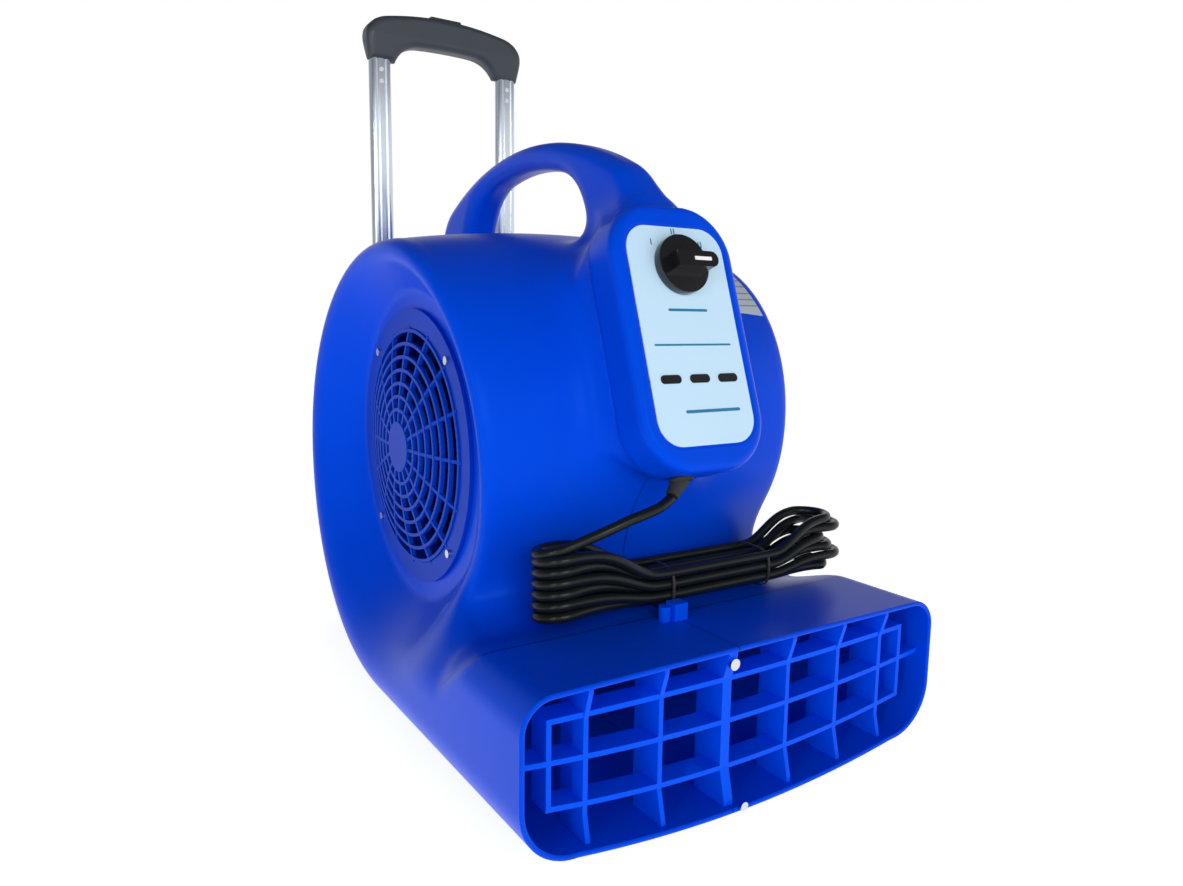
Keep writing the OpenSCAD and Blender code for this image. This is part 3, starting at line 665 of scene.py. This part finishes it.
# The cord from the gland to the hank, on round to the first turn, and from the last turn to the plug.
ROUTE = [(-31, -220, 235), (-40, -223, 231), (-50, -224, 228), (-61, -223, 225), (-71, -221, 222),
         (-81, -219, 218), (-90, -216, 214), (-99, -212, 210), (-107, -208, 206)]
JOINING = [(-114, -205, 203), (-121, -202, 200), (-127, -197.5, 198), (-131, -192, 196.5),
           (-132.5, -186, 195.5), (-130, -179, 195), (-124, -173.5, 195), (-117, -171, 195)]
LEAD = [(22, -168, 148), (34, -160, 148), (46, -154, 149), (58, -149, 150), (70, -146, 151), (82, -145, 151)]


def hank_slot(layer, side, x):
    """Where a strand lies at x: stacked at both ends, gathered into a round bundle between the ties."""
    near = min(1, max(0, (x - LEFT_X) / 80), max(0, (RIGHT_X - x) / 65))
    near = near * near * (3 - 2 * near)
    reach = 18.3 if layer % 2 == 0 else 9.2
    y = FOLD_R + (reach - FOLD_R) * near ** 0.5
    z = GAP * layer + (4.6 * layer - GAP * layer) * near ** 2
    return (x, HANK_Y + side * y, HANK_Z + z)


def hank_points():
    """The turns from the top one down: back strand, right fold, front strand and left fold in each."""
    points = []
    for layer in range(LAYERS - 1, 0, -1):
        end = RIGHT_X + RIGHT_TIPS[layer - 1]
        level = HANK_Z + GAP * layer
        xs = np.linspace(LEFT_X, end, 22)[1:]
        points += [hank_slot(layer, 1, x) for x in xs]
        for a in np.radians(range(15, 180, 15)):
            points.append((end + FOLD_R * math.sin(a), HANK_Y + FOLD_R * math.cos(a), level))
        points += [hank_slot(layer, -1, x) for x in xs[::-1]]
        for a in np.radians(range(0, 181, 15)):
            points.append((LEFT_X - FOLD_R * math.sin(a), HANK_Y - FOLD_R * math.cos(a),
                           level - GAP * a / math.pi))
    # The lowest turn leaves the hank part of the way along its back strand.
    xs = np.linspace(LEFT_X, RIGHT_X, 22)[1:]
    return points + [hank_slot(0, 1, x) for x in xs if x < 5]


def make_cord(material, tie_material):
    """The mains cord: down from its gland, wound into a hank on the duct's roof, and out to its plug."""
    points = ROUTE + JOINING + hank_points() + LEAD
    data = bpy.data.curves.new("power_cord_sheath", "CURVE")
    data.dimensions = "3D"
    data.bevel_depth = CORD_D / 2 * MM
    data.bevel_resolution = 3
    data.resolution_u = 3
    data.use_fill_caps = True
    line = data.splines.new("NURBS")
    line.points.add(len(points) - 1)
    for p, q in zip(line.points, points):
        p.co = (*(c * MM for c in q), 1)
    line.order_u = 3
    line.use_endpoint_u = True
    data.materials.append(material)
    made = bpy.data.objects.new("power_cord_sheath", data)
    bpy.context.scene.collection.objects.link(made)
    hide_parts("power_cord", "plug_lead", "cord_hank")
    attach(made, "housing")
    make_ties(tie_material)


def make_ties(material):
    """Two ties round the gathered bundle: each a strip bent into a ring with flattened sides."""
    points, faces = [], []
    # Each tie's place along the hank, its middle above the lowest turn, and its half height.
    for x, middle, half in ((-20, 13.6, 18.9), (85, 16.2, 16.8)):
        ring = []
        for a in np.radians(range(0, 360, 12)):
            y = 23.2 * np.sign(math.cos(a)) * abs(math.cos(a)) ** 0.6
            z = half * np.sign(math.sin(a)) * abs(math.sin(a)) ** 0.6
            ring.append((y, z))
        start = len(points)
        n = len(ring)
        for y, z in ring:
            for dx, thick in ((-1.3, 0), (1.3, 0), (1.0, 0.9), (-1.0, 0.9)):
                out = 1 + thick / math.hypot(y, z)
                points.append((x + dx, HANK_Y + y * out, HANK_Z + middle + z * out))
        for k in range(n):
            for s in range(4):
                a, b = start + 4 * k, start + 4 * ((k + 1) % n)
                faces.append((a + s, a + (s + 1) % 4, b + (s + 1) % 4, b + s))
    made = add_mesh("cord_tie_wires", points, faces, material, sharp=60)
    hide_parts("cord_ties")
    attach(made, "housing")
    return made


# ---------------------------------------------------------------------------
# Panel print
# ---------------------------------------------------------------------------

INK_LOW, INK_TOP = 0.18, 0.32


def on_panel(u, v, h):
    """A point on the panel, in millimetres."""
    return (u, PANEL_Y + v * math.sin(LEAN) - h * math.cos(LEAN),
            PANEL_Z + v * math.cos(LEAN) + h * math.sin(LEAN))


def bars_on_panel(name, bars, material):
    """Flat round-ended bars: each is (u, v, width, height)."""
    points, faces = [], []
    for u, v, width, height in bars:
        r = min(width, height) / 2
        edge = []
        for quarter, (su, sv) in enumerate(((1, 1), (-1, 1), (-1, -1), (1, -1))):
            corner_u, corner_v = u + su * (width / 2 - r), v + sv * (height / 2 - r)
            for a in np.radians((0, 30, 60, 90)) + quarter * math.pi / 2:
                edge.append((corner_u + r * math.cos(a), corner_v + r * math.sin(a)))
        start, n = len(points), len(edge)
        for h in (INK_LOW, INK_TOP):
            points += [on_panel(a, b, h) for a, b in edge]
        faces += [tuple(start + n + k for k in range(n)), tuple(start + k for k in range(n))[::-1]]
        faces += [(start + k, start + (k + 1) % n, start + n + (k + 1) % n, start + n + k) for k in range(n)]
    made = add_mesh(name, points, faces, material, sharp=30)
    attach(made, "housing")


def make_print(material):
    """The dial's marks, one to three strokes, and the three ruled lines below it."""
    dial = []
    for count, u, v in ((1, -24, 77), (2, 0, 87), (3, 25, 77)):
        dial += [(u + 2.6 * (k - (count - 1) / 2), v, 1.1, 5.5) for k in range(count)]
    bars_on_panel("dial_marks", dial, material)
    lines = [(1, 20, 40, 2.2), (0, -9, 78, 1.6), (8, -63.5, 56, 2.6)]
    bars_on_panel("panel_lines", lines, material)


# ---------------------------------------------------------------------------
# Put it together
# ---------------------------------------------------------------------------

# The look of each CAD node that stays, and the radius that softens its edges, in millimetres.
NODE_LOOKS = {
    "outlet_grille_left": "grille", "outlet_grille_right": "grille", "cord_cleat": "grille",
    "inlet_grille_left": "inner_grille", "inlet_grille_right": "inner_grille",
    "grille_screws": "steel", "shell_screws": "trim", "control_panel": "panel", "indicator_lenses": "lens",
    "rating_label": "label", "switch_body": "dark", "switch_knob": "knob", "knob_pointer": "white",
    "capacitor": "steel", "terminal_block": "cream", "cord_gland": "rubber", "plug": "cord",
    "plug_pins": "steel",
    "blower_wheel": "impeller", "wheel_hub": "steel", "motor_shaft": "steel", "motor_rotor": "iron",
    "motor_stator": "copper", "motor_can": "motor", "motor_cap_left": "motor", "motor_cap_right": "motor",
    "motor_bearings": "steel", "motor_bracket": "motor", "bracket_screws": "steel",
    "upper_bracket": "charcoal", "rear_carriage": "charcoal", "left_outer_tube": "tube",
    "right_outer_tube": "tube", "tube_rivets": "steel", "release_button": "button", "lock_rods": "steel",
    "release_spring": "steel", "axle": "steel", "axle_caps": "charcoal", "left_wheel": "charcoal",
    "left_tyre": "tyre", "right_wheel": "charcoal", "right_tyre": "tyre", "front_feet": "rubber",
}
SOFT_EDGES = {
    "outlet_grille_left": 0.9, "outlet_grille_right": 0.9, "inlet_grille_left": 0.7,
    "inlet_grille_right": 0.7, "cord_cleat": 1.5, "upper_bracket": 1.5, "rear_carriage": 2.0,
    "switch_knob": 1.2, "release_button": 1.5,
    "left_wheel": 0.8, "right_wheel": 0.8, "left_tyre": 2.5, "right_tyre": 2.5, "axle_caps": 1.0,
    "plug": 1.5, "front_feet": 1.0, "control_panel": 0.2, "indicator_lenses": 0.3, "knob_pointer": 0.15,
}


def dress_nodes(materials):
    for name, look in NODE_LOOKS.items():
        mesh_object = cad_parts[name]
        for slot in mesh_object.material_slots:
            slot.material = materials[look]
        if name in SOFT_EDGES:
            weld = mesh_object.modifiers.new("weld", "WELD")
            weld.merge_threshold = 0.00001
            bevel = mesh_object.modifiers.new("bevel", "BEVEL")
            bevel.width = SOFT_EDGES[name] * MM
            bevel.segments = 2
            bevel.limit_method = "ANGLE"
            bevel.angle_limit = math.radians(40)
            bevel.harden_normals = False


make_camera()
materials = make_materials()
make_cord(materials["cord"], materials["dark"])
make_light()
make_floor(materials["floor"])
make_shells(materials["shell"])
make_pod(materials["pod"])
make_grip(materials["charcoal"])
make_inner_tubes(materials["tube"])
make_print(materials["print"])
dress_nodes(materials)
